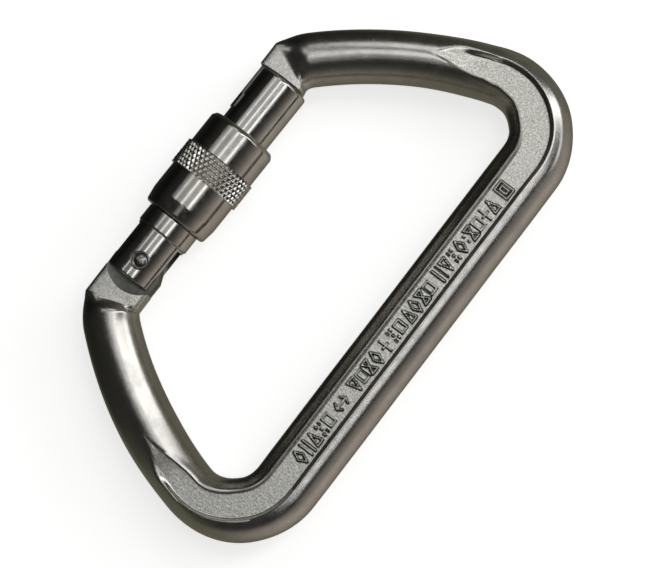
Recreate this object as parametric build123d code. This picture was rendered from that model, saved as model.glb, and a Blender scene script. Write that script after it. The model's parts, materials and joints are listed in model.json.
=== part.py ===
from build123d import *
import math
import os

# Locking carabiner: a large forged steel D with a sprung gate and a screw sleeve.
# It lies flat. +Y runs along the spine towards the nose, +X from the gate towards the spine and +Z
# through its thickness, and the origin is the centre of the bounding box. Millimetres and degrees.

# Driving dimensions of the forged bar's centreline
SPINE_X = 30.3
TOP_CORNER_Y, TOP_CORNER_R, TOP_CORNER_TURN = 47.3, 14.25, 109.5
NOSE_ARM_R, NOSE_ARM_TURN = 104.6, 28.0
LOW_CORNER_Y, LOW_CORNER_R, LOW_CORNER_TURN = -46.55, 14.65, 103.5
HINGE_ARM_R, HINGE_ARM_TURN = 92.0, 26.5
HINGE_END_R, HINGE_END_TURN = 11.0, 50.0

# Bar section: width in the plane of the D, and thickness across it
ARM_WIDTH, ARM_THICKNESS = 13.0, 13.2
SPINE_WIDTH, SPINE_THICKNESS = 16.1, 13.2
HINGE_ARM_WIDTH, HINGE_ARM_THICKNESS = 14.0, 13.7
TANG_WIDTH = 13.1

# Recessed web on both faces
WEB_FLOOR_Z = 4.5
WEB_OUTER, WEB_INNER = 1.4, 4.05
WEB_ARM_OUTER, WEB_ARM_INNER = 3.4, 2.4
WEB_TOP_RUN, WEB_LOW_RUN = 8.5, 9.5
WEB_CORNER_SHIFT, WEB_TIP_SHIFT = 0.3, 1.0
WEB_TIP_OUTER_SLANT, WEB_TIP_INNER_SLANT = 20.0, 10.0
WEB_CUT_HEIGHT = 6.0

# Gate: its axis leans towards the spine at the nose, and the pivot is a little inside it
GATE_LEAN = 1.1
PIVOT_X, PIVOT_Y = -28.88, -25.65
PIVOT_INSET = 0.5
BARREL_R = 6.5
BARREL_LOW, BARREL_TOP = -4.9, 54.45
BARREL_CHAMFER = 0.5
THREAD_LOW, THREAD_TOP, THREAD_R = 25.9, 31.9, 6.9

# Hinge: fork slot, tang and rivet
FORK_HALF_WIDTH, TANG_HALF_THICKNESS = 3.1, 3.0
FORK_TOP = 7.3
TANG_TOP = 5.2
TANG_CAM_CORNER, FORK_ROOT_DROP = 3.5, 1.5
TANG_LEFT, TANG_RIGHT = -6.4, 6.2
TANG_BLOCK_HALF_THICKNESS, TANG_BLOCK_DEPTH = 4.8, 3.0
EAR_RELIEF_R = 8.1
TANG_SHOULDER_LEFT_Y, TANG_SHOULDER_RIGHT_Y = -38.8, -35.3
RIVET_R, RIVET_HOLE_R = 1.70, 1.76
RIVET_HEAD_R, RIVET_FLARE_Z, RIVET_RIM_Z, RIVET_TOP_Z = 2.0, 5.2, 5.7, 6.25
COUNTERSINK_R, COUNTERSINK_Z = 2.3, 6.2

# Return spring and plunger in the gate's blind bore
BORE_R, BORE_END = 3.0, 20.0
PLUNGER_R, PLUNGER_LENGTH, PLUNGER_CHAMFER = 2.8, 5.2, 0.5
SPRING_R, SPRING_WIRE, SPRING_TURNS = 2.3, 0.8, 5.0
SEAT_GAP = 0.05

# Nose: neck, tongue and T head, all concentric with the hinge
NOSE_LEFT_X = -35.35
NECK_LEFT_Y, NECK_RIGHT_X, NECK_RIGHT_Y = 35.0, -23.3, 30.2
NECK_UNDERSIDE_R, NECK_HALF_THICKNESS = 55.1, 4.8
NECK_DEPTH = 2.0
HEAD_LOW_R, HEAD_TOP_R, HEAD_HALF_THICKNESS = 43.0, 46.6, 3.8
TONGUE_OUTER_R, TONGUE_INNER = 6.85, 2.0
SLOT_CLEARANCE = 0.2

# Screw sleeve, retaining ring and stop collar
SLEEVE_LOW, SLEEVE_TOP, SLEEVE_R = 12.65, 39.05, 8.9
KNURL_LOW, KNURL_TOP, KNURL_R = 23.5, 30.1, 9.45
SLEEVE_THREAD_R, SLEEVE_BORE_R = 6.96, 7.25
SLEEVE_THREAD_TOP = 30.0
SLEEVE_CHAMFER, SLEEVE_LOW_TAPER, SLEEVE_LOW_TAPER_HEIGHT = 0.8, 0.9, 3.2
RING_Y, RING_WIRE_R, RING_CENTRE_R, RING_GAP_ANGLE = 13.4, 0.45, 7.0, 14.0
GROOVE_CLEARANCE = 0.05
COLLAR_LOW, COLLAR_TOP = 7.85, 12.55
COLLAR_R, COLLAR_SEAT_R, COLLAR_CHAMFER = 6.85, 6.2, 0.25

# Reach of the cutting shapes: right through a part, past a shoulder, past an end and past a face
CUT = 40.0
SHOULDER_REACH, END_REACH, FACE_REACH = 10.0, 3.0, 1.0


def heading(angle):
    """The unit vector that points at this angle from +X."""
    return Vector(math.cos(math.radians(angle)), math.sin(math.radians(angle)))


def bar_stations():
    """The centreline's joints from nose to hinge end: each arc's start, its centre and its turn."""
    spine_top = Vector(SPINE_X, TOP_CORNER_Y)
    spine_low = Vector(SPINE_X, LOW_CORNER_Y)
    top_centre = spine_top - Vector(TOP_CORNER_R, 0)
    low_centre = spine_low - Vector(LOW_CORNER_R, 0)
    top_end = top_centre + TOP_CORNER_R * heading(TOP_CORNER_TURN)
    nose_centre = top_end - NOSE_ARM_R * heading(TOP_CORNER_TURN)
    nose_end = nose_centre + NOSE_ARM_R * heading(TOP_CORNER_TURN + NOSE_ARM_TURN)
    low_end = low_centre + LOW_CORNER_R * heading(-LOW_CORNER_TURN)
    hinge_centre = low_end - HINGE_ARM_R * heading(-LOW_CORNER_TURN)
    arm_angle = -LOW_CORNER_TURN - HINGE_ARM_TURN
    hinge_end = hinge_centre + HINGE_ARM_R * heading(arm_angle)
    tang_centre = hinge_end - HINGE_END_R * heading(arm_angle)
    tang_end = tang_centre + HINGE_END_R * heading(arm_angle - HINGE_END_TURN)
    return {
        "nose_end": (nose_end, TOP_CORNER_TURN + NOSE_ARM_TURN),
        "nose_mid": (
            nose_centre + NOSE_ARM_R * heading(TOP_CORNER_TURN + NOSE_ARM_TURN / 2),
            TOP_CORNER_TURN + NOSE_ARM_TURN / 2,
        ),
        "top_end": (top_end, TOP_CORNER_TURN),
        "top_mid": (top_centre + TOP_CORNER_R * heading(TOP_CORNER_TURN / 2), TOP_CORNER_TURN / 2),
        "spine_top": (spine_top, 0),
        "spine_low": (spine_low, 0),
        "low_mid": (low_centre + LOW_CORNER_R * heading(-LOW_CORNER_TURN / 2), -LOW_CORNER_TURN / 2),
        "low_end": (low_end, -LOW_CORNER_TURN),
        "hinge_mid": (
            hinge_centre + HINGE_ARM_R * heading(-LOW_CORNER_TURN - HINGE_ARM_TURN / 2),
            -LOW_CORNER_TURN - HINGE_ARM_TURN / 2,
        ),
        "hinge_end": (hinge_end, arm_angle),
        "tang_mid": (
            tang_centre + HINGE_END_R * heading(arm_angle - HINGE_END_TURN / 2),
            arm_angle - HINGE_END_TURN / 2,
        ),
        "tang_end": (tang_end, arm_angle - HINGE_END_TURN),
    }


def bar_section(station, width, thickness):
    """The bar's oval section, square to the centreline at a station."""
    point, outward = station
    across = heading(outward)
    plane = Plane(origin=point, x_dir=across, z_dir=Vector(across.Y, -across.X))
    return plane * Ellipse(width / 2, thickness / 2)


def bar_piece(path, sections):
    return sweep(sections, path=path, multisection=True)


def forged_bar():
    """The round nose arm, the wide spine and the round hinge arm, swept in stretches."""
    at = bar_stations()
    arm = (ARM_WIDTH, ARM_THICKNESS)
    spine = (SPINE_WIDTH, SPINE_THICKNESS)
    hinge = (HINGE_ARM_WIDTH, HINGE_ARM_THICKNESS)
    stretches = [
        ("nose_end", "nose_mid", "top_end", arm, arm),
        ("top_end", "top_mid", "spine_top", arm, spine),
        ("spine_top", None, "spine_low", spine, spine),
        ("spine_low", "low_mid", "low_end", spine, hinge),
        ("low_end", "hinge_mid", "hinge_end", hinge, hinge),
        ("hinge_end", "tang_mid", "tang_end", hinge, (TANG_WIDTH, ARM_THICKNESS)),
    ]
    bar = None
    for first, middle, last, first_size, last_size in stretches:
        if middle:
            path = ThreePointArc(at[first][0], at[middle][0], at[last][0])
        else:
            path = Line(at[first][0], at[last][0])
        ends = [bar_section(at[first], *first_size), bar_section(at[last], *last_size)]
        piece = bar_piece(path, ends)
        bar = piece if bar is None else bar + piece
    return bar


def web_outline():
    """The recess in plan: it follows both corners and runs out to a point on each arm."""
    at = bar_stations()

    def offset(name, distance):
        point, outward = at[name]
        return point + distance * heading(outward)

    def on_arm(name, run, distance):
        point, outward = at[name]
        side = 90 if outward > 0 else -90
        return point + run * heading(outward + side) + distance * heading(outward)

    tip_offset = (WEB_ARM_OUTER - WEB_ARM_INNER) / 2 - WEB_TIP_SHIFT
    top_tip = on_arm("top_end", 2 * WEB_TOP_RUN, tip_offset)
    low_tip = on_arm("low_end", 2 * WEB_LOW_RUN, tip_offset)
    low_outer = Spline(
        low_tip,
        on_arm("low_end", WEB_LOW_RUN / 2, WEB_ARM_OUTER),
        offset("low_mid", WEB_OUTER + WEB_CORNER_SHIFT),
        offset("spine_low", WEB_OUTER),
        tangents=[heading(90 - LOW_CORNER_TURN - WEB_TIP_OUTER_SLANT), Vector(0, 1)],
    )
    top_outer = Spline(
        offset("spine_top", WEB_OUTER),
        offset("top_mid", WEB_OUTER + WEB_CORNER_SHIFT),
        on_arm("top_end", WEB_TOP_RUN / 2, WEB_ARM_OUTER),
        top_tip,
        tangents=[Vector(0, 1), heading(90 + TOP_CORNER_TURN + WEB_TIP_OUTER_SLANT)],
    )
    top_inner = Spline(
        top_tip,
        on_arm("top_end", WEB_TOP_RUN / 2, -WEB_ARM_INNER),
        offset("top_mid", WEB_CORNER_SHIFT - WEB_INNER),
        offset("spine_top", -WEB_INNER),
        tangents=[heading(TOP_CORNER_TURN - 90 + WEB_TIP_INNER_SLANT), Vector(0, -1)],
    )
    low_inner = Spline(
        offset("spine_low", -WEB_INNER),
        offset("low_mid", WEB_CORNER_SHIFT - WEB_INNER),
        on_arm("low_end", WEB_LOW_RUN / 2, -WEB_ARM_INNER),
        low_tip,
        tangents=[Vector(0, -1), heading(-LOW_CORNER_TURN - 90 - WEB_TIP_INNER_SLANT)],
    )
    outer_line = Line(offset("spine_low", WEB_OUTER), offset("spine_top", WEB_OUTER))
    inner_line = Line(offset("spine_top", -WEB_INNER), offset("spine_low", -WEB_INNER))
    return make_face(Wire([low_outer, outer_line, top_outer, top_inner, inner_line, low_inner]))


def web_recess():
    """The two pockets, front and back."""
    outline = web_outline()
    front = extrude(Pos(0, 0, WEB_FLOOR_Z) * outline, WEB_CUT_HEIGHT)
    back = mirror(front, about=Plane.XY)
    return front + back


def gate_frame():
    """The gate's own axes: Y along the barrel, and zero at the pivot's height."""
    return Pos(PIVOT_X, PIVOT_Y, 0) * Rot(0, 0, -GATE_LEAN) * Pos(-PIVOT_INSET, 0, 0)


def slab(points, half_thickness):
    """A flat plate of this plan outline, centred on the D's own plane."""
    return extrude(Polygon(*points, align=None), half_thickness, both=True)


def pivot_disc(radius, half_thickness):
    return Pos(PIVOT_X, PIVOT_Y, 0) * Cylinder(radius, 2 * half_thickness)


def turned(profile):
    """A solid turned about the gate's axis from (radius, height) points."""
    return gate_frame() * revolve(make_face(Polyline(*profile, close=True)), Axis.Y)


def rivet_turned(profile):
    """A solid turned about the hinge axis from (radius, height) points."""
    return Pos(PIVOT_X, PIVOT_Y, 0) * revolve(Plane.XZ * make_face(Polyline(*profile, close=True)), Axis.Z)


def shoulder_height(x):
    """The height of the nose's slanting shoulder at x."""
    slope = (NECK_RIGHT_Y - NECK_LEFT_Y) / (NECK_RIGHT_X - NOSE_LEFT_X)
    return NECK_LEFT_Y + slope * (x - NOSE_LEFT_X)


def nose_cutaway():
    """What is milled off the bar's nose end: all left of the flank and below the slanting shoulder."""
    flank = Pos(NOSE_LEFT_X - CUT / 2, NECK_LEFT_Y) * Box(CUT, CUT, CUT)
    left = NOSE_LEFT_X - SHOULDER_REACH
    right = NECK_RIGHT_X + SHOULDER_REACH
    shoulder = [(left, shoulder_height(left)), (right, shoulder_height(right)), (right, 0), (left, 0)]
    return flank + slab(shoulder, CUT / 2)


def tongue_plan(inner, half_thickness):
    """The tongue's plan seen from the front, from the T head's foot to past the barrel's end."""
    foot, end = HEAD_LOW_R - END_REACH, BARREL_TOP + END_REACH
    corners = [(-CUT / 2, foot), (-CUT / 2, end), (inner, end), (inner, foot)]
    return gate_frame() * slab(corners, half_thickness)


def nose_tongue():
    """The flat neck, the tongue and the T head, turned about the hinge so that the gate swings clear."""
    neck = slab(
        [
            (NOSE_LEFT_X, PIVOT_Y + HEAD_TOP_R),
            (NOSE_LEFT_X, NECK_LEFT_Y),
            (NOSE_LEFT_X + NECK_DEPTH, NECK_LEFT_Y + NECK_DEPTH),
            (NECK_RIGHT_X, NECK_RIGHT_Y + NECK_DEPTH),
            (NECK_RIGHT_X, PIVOT_Y + HEAD_TOP_R),
        ],
        NECK_HALF_THICKNESS,
    )
    neck -= pivot_disc(NECK_UNDERSIDE_R, CUT)
    tongue = tongue_plan(TONGUE_INNER, HEAD_HALF_THICKNESS) - pivot_disc(HEAD_LOW_R, CUT)
    head = pivot_disc(HEAD_TOP_R, HEAD_HALF_THICKNESS)
    stem = pivot_disc(HEAD_LOW_R + CUT, TANG_HALF_THICKNESS)
    tongue &= head + stem
    end = BARREL_TOP + END_REACH
    tongue &= turned([(0, 0), (TONGUE_OUTER_R, 0), (TONGUE_OUTER_R, end), (0, end)])
    return neck + tongue


def hinge_cutaway():
    """What is milled off the bar's hinge end to leave the flat tang."""
    left = NOSE_LEFT_X - SHOULDER_REACH
    right = PIVOT_X + TANG_RIGHT + SHOULDER_REACH
    above = [
        (left, TANG_SHOULDER_LEFT_Y),
        (PIVOT_X + TANG_LEFT, TANG_SHOULDER_LEFT_Y),
        (PIVOT_X + TANG_RIGHT, TANG_SHOULDER_RIGHT_Y),
        (right, TANG_SHOULDER_RIGHT_Y),
        (right, 0),
        (left, 0),
    ]
    return slab(above, CUT / 2)


def hinge_tang():
    """The flat tang between the fork's ears, and the thicker block below, relieved round the ears' swing.

    The tang's top is a flat cam, whose corner drives the plunger."""
    left, right = PIVOT_X + TANG_LEFT, PIVOT_X + TANG_RIGHT
    tang = slab(
        [
            (left, TANG_SHOULDER_LEFT_Y),
            (left, PIVOT_Y - FORK_ROOT_DROP),
            (PIVOT_X - TANG_CAM_CORNER, PIVOT_Y + TANG_TOP),
            (PIVOT_X + TANG_CAM_CORNER, PIVOT_Y + TANG_TOP),
            (right, PIVOT_Y - FORK_ROOT_DROP),
            (right, TANG_SHOULDER_RIGHT_Y),
        ],
        TANG_HALF_THICKNESS,
    )
    block = slab(
        [
            (left, TANG_SHOULDER_LEFT_Y),
            (left, PIVOT_Y + BARREL_LOW),
            (right, PIVOT_Y + BARREL_LOW),
            (right, TANG_SHOULDER_RIGHT_Y),
            (right - TANG_BLOCK_DEPTH, TANG_SHOULDER_RIGHT_Y - TANG_BLOCK_DEPTH),
            (left + TANG_BLOCK_DEPTH, TANG_SHOULDER_LEFT_Y - TANG_BLOCK_DEPTH),
        ],
        TANG_BLOCK_HALF_THICKNESS,
    )
    return tang + (block - pivot_disc(EAR_RELIEF_R, CUT))


def make_forged_body():
    bar = forged_bar() - web_recess()
    bar -= nose_cutaway()
    bar -= hinge_cutaway()
    body = bar + nose_tongue() + hinge_tang()
    body -= pivot_disc(RIVET_HOLE_R, CUT)
    return body


def make_gate_barrel():
    barrel = turned(
        [
            (0, BARREL_LOW),
            (BARREL_R - BARREL_CHAMFER, BARREL_LOW),
            (BARREL_R, BARREL_LOW + BARREL_CHAMFER),
            (BARREL_R, COLLAR_LOW),
            (COLLAR_SEAT_R, COLLAR_LOW),
            (COLLAR_SEAT_R, COLLAR_TOP),
            (BARREL_R, COLLAR_TOP),
            (BARREL_R, THREAD_LOW),
            (THREAD_R, THREAD_LOW),
            (THREAD_R, THREAD_TOP),
            (BARREL_R, THREAD_TOP),
            (BARREL_R, BARREL_TOP - BARREL_CHAMFER),
            (BARREL_R - BARREL_CHAMFER, BARREL_TOP),
            (0, BARREL_TOP),
        ]
    )
    nose_slot = tongue_plan(TONGUE_INNER + SLOT_CLEARANCE, CUT / 2)
    nose_slot -= pivot_disc(HEAD_LOW_R - SLOT_CLEARANCE, CUT)
    wide = pivot_disc(HEAD_TOP_R + SLOT_CLEARANCE, HEAD_HALF_THICKNESS + SLOT_CLEARANCE)
    narrow = pivot_disc(HEAD_LOW_R + CUT, TANG_HALF_THICKNESS + SLOT_CLEARANCE)
    barrel -= nose_slot & (wide + narrow)
    fork_height = FORK_TOP - BARREL_LOW + FACE_REACH
    fork_slot = Pos(0, FORK_TOP - fork_height / 2, 0) * Box(CUT, fork_height, 2 * FORK_HALF_WIDTH)
    barrel -= gate_frame() * fork_slot
    bore_low = FORK_TOP - FACE_REACH
    barrel -= turned([(0, bore_low), (BORE_R, bore_low), (BORE_R, BORE_END), (0, BORE_END)])
    outside = COUNTERSINK_Z + FACE_REACH
    rivet_hole = [
        (0, -outside),
        (COUNTERSINK_R, -outside),
        (COUNTERSINK_R, -COUNTERSINK_Z),
        (RIVET_R, -RIVET_FLARE_Z),
        (RIVET_R, RIVET_FLARE_Z),
        (COUNTERSINK_R, COUNTERSINK_Z),
        (COUNTERSINK_R, outside),
        (0, outside),
    ]
    return barrel - rivet_turned(rivet_hole)


def make_hinge_rivet():
    """A plain shank with a flared rim and a shallow dome at each end."""
    rise = RIVET_TOP_Z - RIVET_RIM_Z
    dome_r = (RIVET_HEAD_R**2 + rise**2) / (2 * rise)
    half_angle = math.asin(RIVET_HEAD_R / dome_r) / 2
    shoulder = dome_r * math.sin(half_angle)
    shoulder_z = RIVET_TOP_Z - dome_r * (1 - math.cos(half_angle))
    upper_dome = ThreePointArc((RIVET_HEAD_R, RIVET_RIM_Z), (shoulder, shoulder_z), (0, RIVET_TOP_Z))
    lower_dome = ThreePointArc((0, -RIVET_TOP_Z), (shoulder, -shoulder_z), (RIVET_HEAD_R, -RIVET_RIM_Z))
    side = Polyline(
        (RIVET_HEAD_R, -RIVET_RIM_Z),
        (RIVET_R, -RIVET_FLARE_Z),
        (RIVET_R, RIVET_FLARE_Z),
        (RIVET_HEAD_R, RIVET_RIM_Z),
    )
    axis_line = Line((0, RIVET_TOP_Z), (0, -RIVET_TOP_Z))
    outline = make_face(Wire([*lower_dome.edges(), *side.edges(), *upper_dome.edges(), *axis_line.edges()]))
    return Pos(PIVOT_X, PIVOT_Y, 0) * revolve(Plane.XZ * outline, Axis.Z)


def make_return_spring():
    """An open coil between the plunger and the end of the blind bore."""
    low = TANG_TOP + SEAT_GAP + PLUNGER_LENGTH + SPRING_WIRE / 2 + SEAT_GAP
    height = BORE_END - SPRING_WIRE / 2 - SEAT_GAP - low
    path = Helix(height / SPRING_TURNS, height, SPRING_R)
    wire = sweep(Plane(origin=path @ 0, z_dir=path % 0) * Circle(SPRING_WIRE / 2), path=path)
    return gate_frame() * Pos(0, low, 0) * Rot(-90, 0, 0) * wire


def make_spring_plunger():
    low = TANG_TOP + SEAT_GAP
    top = low + PLUNGER_LENGTH
    return turned(
        [
            (0, low),
            (PLUNGER_R - PLUNGER_CHAMFER, low),
            (PLUNGER_R, low + PLUNGER_CHAMFER),
            (PLUNGER_R, top),
            (0, top),
        ]
    )


def make_locking_sleeve():
    groove_low = RING_Y - RING_WIRE_R - GROOVE_CLEARANCE
    groove_top = RING_Y + RING_WIRE_R + GROOVE_CLEARANCE
    groove_r = RING_CENTRE_R + RING_WIRE_R + GROOVE_CLEARANCE
    return turned(
        [
            (SLEEVE_THREAD_R, SLEEVE_LOW),
            (SLEEVE_R - SLEEVE_LOW_TAPER, SLEEVE_LOW),
            (SLEEVE_R, SLEEVE_LOW + SLEEVE_LOW_TAPER_HEIGHT),
            (SLEEVE_R, KNURL_LOW),
            (KNURL_R, KNURL_LOW),
            (KNURL_R, KNURL_TOP),
            (SLEEVE_R, KNURL_TOP),
            (SLEEVE_R, SLEEVE_TOP - SLEEVE_CHAMFER),
            (SLEEVE_R - SLEEVE_CHAMFER, SLEEVE_TOP),
            (SLEEVE_BORE_R, SLEEVE_TOP),
            (SLEEVE_BORE_R, SLEEVE_THREAD_TOP),
            (SLEEVE_THREAD_R, SLEEVE_THREAD_TOP),
            (SLEEVE_THREAD_R, groove_top),
            (groove_r, groove_top),
            (groove_r, groove_low),
            (SLEEVE_THREAD_R, groove_low),
        ]
    )


def make_sleeve_retaining_ring():
    """A split ring of round wire."""
    wire = Pos(RING_CENTRE_R, RING_Y) * Circle(RING_WIRE_R)
    return gate_frame() * revolve(wire, Axis.Y, 360 - RING_GAP_ANGLE)


def make_sleeve_stop_collar():
    return turned(
        [
            (COLLAR_SEAT_R, COLLAR_LOW),
            (COLLAR_R - COLLAR_CHAMFER, COLLAR_LOW),
            (COLLAR_R, COLLAR_LOW + COLLAR_CHAMFER),
            (COLLAR_R, COLLAR_TOP - COLLAR_CHAMFER),
            (COLLAR_R - COLLAR_CHAMFER, COLLAR_TOP),
            (COLLAR_SEAT_R, COLLAR_TOP),
        ]
    )


os.makedirs("parts", exist_ok=True)
parts = {
    "forged_body": make_forged_body(),
    "gate_barrel": make_gate_barrel(),
    "hinge_rivet": make_hinge_rivet(),
    "return_spring": make_return_spring(),
    "spring_plunger": make_spring_plunger(),
    "locking_sleeve": make_locking_sleeve(),
    "sleeve_retaining_ring": make_sleeve_retaining_ring(),
    "sleeve_stop_collar": make_sleeve_stop_collar(),
}
for name, solid in parts.items():
    export_step(solid, f"parts/{name}.step")
    box = solid.bounding_box()
    print(name, round(solid.volume, 1), box.min, box.max)
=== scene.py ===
"""The locking carabiner's looks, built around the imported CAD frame. Lengths are in millimetres."""

import json
import math

import bpy
import numpy as np
from mathutils import Matrix, Vector, noise


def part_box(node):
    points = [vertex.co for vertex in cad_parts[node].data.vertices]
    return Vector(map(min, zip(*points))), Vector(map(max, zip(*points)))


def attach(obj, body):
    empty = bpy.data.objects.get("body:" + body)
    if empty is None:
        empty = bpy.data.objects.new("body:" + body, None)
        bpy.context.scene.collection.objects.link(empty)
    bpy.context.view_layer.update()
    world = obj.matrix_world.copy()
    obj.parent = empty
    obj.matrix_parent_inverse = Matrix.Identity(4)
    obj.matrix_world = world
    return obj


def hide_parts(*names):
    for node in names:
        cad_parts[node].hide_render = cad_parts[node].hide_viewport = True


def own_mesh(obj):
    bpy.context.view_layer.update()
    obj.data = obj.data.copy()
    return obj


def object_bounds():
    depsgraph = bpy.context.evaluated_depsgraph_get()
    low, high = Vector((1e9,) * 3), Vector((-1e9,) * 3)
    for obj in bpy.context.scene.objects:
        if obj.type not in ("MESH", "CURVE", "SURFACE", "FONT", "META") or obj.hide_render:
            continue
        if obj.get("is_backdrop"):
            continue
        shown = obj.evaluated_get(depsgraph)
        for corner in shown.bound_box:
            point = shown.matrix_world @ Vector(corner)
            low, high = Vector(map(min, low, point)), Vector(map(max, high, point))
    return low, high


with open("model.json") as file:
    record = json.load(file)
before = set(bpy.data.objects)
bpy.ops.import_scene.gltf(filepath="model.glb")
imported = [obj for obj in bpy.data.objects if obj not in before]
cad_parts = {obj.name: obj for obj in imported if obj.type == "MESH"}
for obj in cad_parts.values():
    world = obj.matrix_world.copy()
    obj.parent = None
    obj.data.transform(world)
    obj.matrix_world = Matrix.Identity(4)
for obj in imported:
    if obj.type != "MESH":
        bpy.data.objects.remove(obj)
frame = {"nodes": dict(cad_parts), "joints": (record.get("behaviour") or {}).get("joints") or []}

CAD_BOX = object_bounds()
MM = 0.001
JOINTS = {joint["name"]: joint for joint in frame["joints"]}

# The gate's own axes, from the joints: Y along the barrel, with zero at the pivot's height
PIVOT = Vector(JOINTS["gate_hinge"]["pos_m"]) / MM
GATE_ORIGIN = Vector(JOINTS["sleeve_spin"]["pos_m"]) / MM
GATE_AXIS = Vector(JOINTS["sleeve_travel"]["axis"]).normalized()
GATE_ACROSS = GATE_AXIS.cross(Vector((0, 0, 1)))

# Forged bar: centreline, section and web, as in the CAD
SPINE_X = 30.3
TOP_CORNER_Y, TOP_CORNER_R, TOP_CORNER_TURN = 47.3, 14.25, 109.5
NOSE_ARM_R, NOSE_ARM_TURN = 104.6, 24.6
LOW_CORNER_Y, LOW_CORNER_R, LOW_CORNER_TURN = -46.55, 14.65, 103.5
HINGE_ARM_R, HINGE_ARM_TURN = 92.0, 26.5
HINGE_END_R, HINGE_END_TURN = 11.0, 16.0
WEB_FLOOR_Z, WEB_HALF_WIDTH = 4.5, 2.68
WEB_WALL_IN, WEB_WALL_OUT = 0.55, 0.95
WEB_SPINE_CENTRE = -1.22
# Share of the web's full width under which its floor counts as plain surface
WEB_SHOWS = 0.04
# How much the outer wall widens where the web runs out into an arm
RUN_OUT_EASE = 2.8
# Rolled ridges beside the web: distance from the wall, half width and height
RIDGE_OUT = (2.1, 0.9, 0.12)
RIDGE_IN = (0.45, 0.6, 0.24)
# The slight unevenness of a forging's surface: its wavelength, height and random seed
FORGE_WAVE, FORGE_WAVE_HEIGHT, FORGE_WAVE_SEED = 14.0, 0.04, 7

# How finely the bar is meshed: the rings' spacing along each stretch, and the columns across one face, in
# the order inner flank, inner web wall, web floor, outer web wall, outer flank
RING_STEP = {"nose_arm": 0.7, "top_corner": 0.45, "spine": 0.2,
             "low_corner": 0.45, "hinge_arm": 0.7, "hinge_end": 0.5}
FRONT_COLUMNS = (18, 4, 30, 8, 20)
BACK_COLUMNS = (16, 4, 6, 6, 14)
WEB_FLOOR_BAND, OUTER_WALL_BAND = 2, 3
COLUMN_HALF_WIDTH_LEAST = 0.12
BLOCK_RINGS, FLAT_RINGS = 18, 8

# The body's finishes, in the order of its material slots; the last is no finish but painted shade, a dark
# colour where shade falls
SATIN, BLASTED, MILLED, PAINTED_SHADE = range(4)
# A face of the marks that climbs more than this is a stroke's side, painted dark as shade
MARK_SHADE_STEP = 0.10

# Nose and hinge blocks
NOSE_LEFT_X, NOSE_SHOULDER_LEFT_Y = -35.35, 35.0
NOSE_RIGHT_X, NOSE_SHOULDER_RIGHT_Y = -23.3, 29.7
NECK_UNDERSIDE_R = 55.1
BLOCK_HALF_THICKNESS, TANG_HALF_THICKNESS = 4.8, 3.0
TANG_LEFT_X, TANG_SHOULDER_LEFT_Y = PIVOT.x - 6.4, -38.8
TANG_RIGHT_X, TANG_SHOULDER_RIGHT_Y = PIVOT.x + 6.2, -35.3
EAR_RELIEF_R = 8.1
TANG_TOP, TANG_CAM_CORNER, TANG_ROOT_DROP = 5.2, 3.5, 1.5
HEAD_LOW_R, HEAD_TOP_R, HEAD_HALF_THICKNESS = 43.0, 46.6, 3.8
TONGUE_OUTER_R, TONGUE_INNER, TONGUE_STEPS = 6.85, 2.0, 8
SLOT_CLEARANCE, SLOT_OUTER, SLOT_STEPS = 0.2, -12.0, 10
# How a block grows out of the round bar: its section's squareness and how that and the thickness set in, its
# flanks' bend, the hinge shoulder's bow, and the web's centre that its columns keep to
BLOCK_SQUARENESS, BLOCK_THINNING, BLOCK_SQUARING = 9.0, 1.3, 6
END_BEND, HINGE_SHOULDER_BOW, BLOCK_WEB_CENTRE = 0.55, 0.4, 0.9
# How far the nose block reaches past the neck's underside before that is cut round
NOSE_SPARE = 0.8
RELIEF_STEPS, UNDERSIDE_STEPS = 120, 24
UNDERSIDE_FIRST, UNDERSIDE_LAST = 78, 102
# How far the tongue sinks into the neck and stands proud before it is rounded, and the rounding tool's reach
TONGUE_ROOT, TONGUE_SPARE, ROUND_REACH = 1.0, 1, 5
# The tang's root lies this far inside the block at the sides, and above the shoulder on the left
TANG_SIDE_INSET, TANG_LEFT_RISE = 0.2, 2

# Gate barrel
BARREL_R, BARREL_LOW, BARREL_TOP = 6.5, -4.9, 54.45
THREAD_LOW, THREAD_TOP, THREAD_R, THREAD_ROOT_R = 25.9, 31.9, 6.9, 6.3
THREAD_PITCH, THREAD_STARTS, THREAD_ROWS = 1.5, 2, 60
THREAD_FLANK, THREAD_FADE = 1.6, 0.6
THREAD_SHOULDER, THREAD_SHOULDER_GAP = 0.2, 0.03
BARREL_SEGMENTS, BARREL_LOW_CHAMFER, BARREL_SOFTNESS = 144, 0.45, 0.15
# The barrel's rounded top edge, as inset and drop
BARREL_TOP_ROUND = ((0.0, 0.6), (0.12, 0.28), (0.35, 0.07), (0.7, 0.0))
COLLAR_LOW, COLLAR_TOP, COLLAR_R, COLLAR_SEAT_R = 7.85, 12.55, 6.85, 6.2
COLLAR_CHAMFER, COLLAR_CHAMFER_HEIGHT, COLLAR_SOFTNESS = 0.2, 0.3, 0.1
FORK_HALF_WIDTH, FORK_TOP, FORK_REACH, FORK_SPARE = 3.1, 7.3, 12.0, 2
BORE_R, BORE_END, BORE_SPARE = 3.0, 20.0, 1
NECK_SLOT_SPARE = 8
RIVET_R, COUNTERSINK_R = 1.7, 2.3
COUNTERSINK_FOOT_Z, COUNTERSINK_RIM_Z = 5.3, 6.15
COUNTERSINK_TOOL_LOW, COUNTERSINK_TOOL_HIGH = 2, 9
RIVET_HEAD_R, RIVET_FLARE_Z, RIVET_RIM_Z, RIVET_TOP_Z, RIVET_DOME_STEPS = 1.95, 5.1, 5.3, 6.25, 10
SMALL_SEGMENTS = 64
SPRING_WIRE_R, SPRING_COIL_R, SPRING_TURNS, SPRING_END_GAP = 0.4, 2.3, 5.0, 0.1
SPRING_SIDES, SPRING_STEPS = 10, 26

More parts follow.
